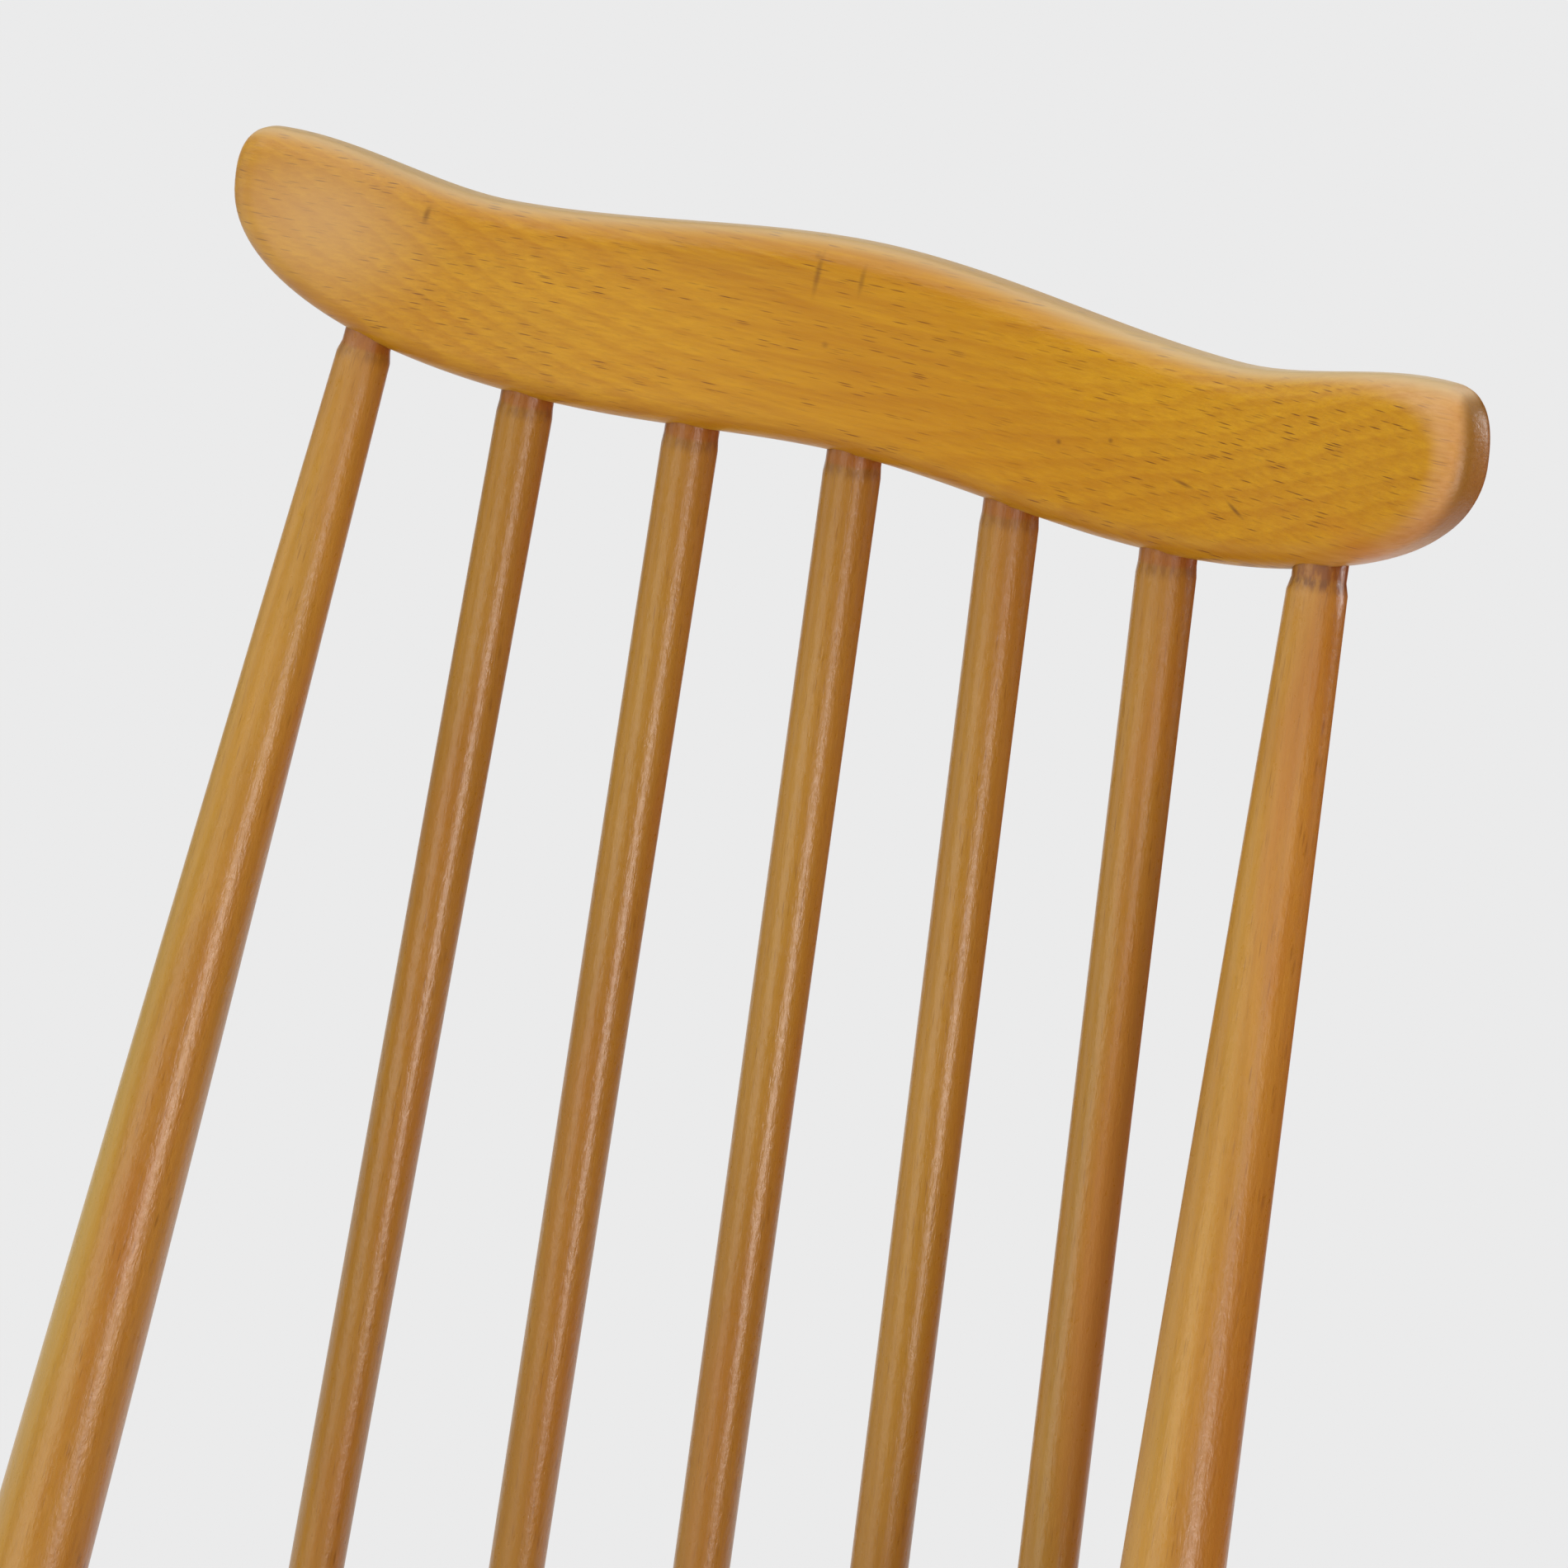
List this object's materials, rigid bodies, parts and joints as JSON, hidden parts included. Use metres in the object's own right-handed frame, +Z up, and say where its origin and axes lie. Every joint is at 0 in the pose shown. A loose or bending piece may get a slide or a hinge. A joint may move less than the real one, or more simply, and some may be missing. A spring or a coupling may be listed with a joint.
{
  "type": "windsor dining chair",
  "caption": "Comb-back windsor dining chair: curved comb on slim sticks and tapered posts, dished board seat, splayed turned legs with an H stretcher.",
  "frame": {"origin": "on the floor under the middle of the chair's bounding box", "axes": "+Z up, the chair faces -Y with its back towards +Y, +X to a viewer's right from in front"},
  "size_m": [0.44, 0.505, 0.9706],
  "materials": {
    "elm_seat": "satin lacquer, honey brown",
    "beech_legs": "satin lacquer, honey brown",
    "wedge_wood": "satin lacquer, dark end grain",
    "beech_sticks": "satin lacquer, caramel",
    "beech_comb": "satin lacquer, golden honey"
  },
  "bodies": {
    "root": {"seat_board_left": "elm_seat", "seat_board_middle": "elm_seat", "seat_board_right": "elm_seat", "leg_front_left": "beech_legs", "leg_front_right": "beech_legs", "leg_back_left": "beech_legs", "leg_back_right": "beech_legs", "side_stretcher_left": "beech_legs", "side_stretcher_right": "beech_legs", "cross_stretcher": "beech_legs", "leg_wedge_front_left": "wedge_wood", "leg_wedge_front_right": "wedge_wood", "leg_wedge_back_left": "wedge_wood", "leg_wedge_back_right": "wedge_wood", "post_wedge_left": "wedge_wood", "post_wedge_right": "wedge_wood", "back_post_left": "beech_sticks", "back_post_right": "beech_sticks", "back_stick_outer_left": "beech_sticks", "back_stick_inner_left": "beech_sticks", "back_stick_middle": "beech_sticks", "back_stick_inner_right": "beech_sticks", "back_stick_outer_right": "beech_sticks", "comb": "beech_comb"}
  },
  "joints": []
}
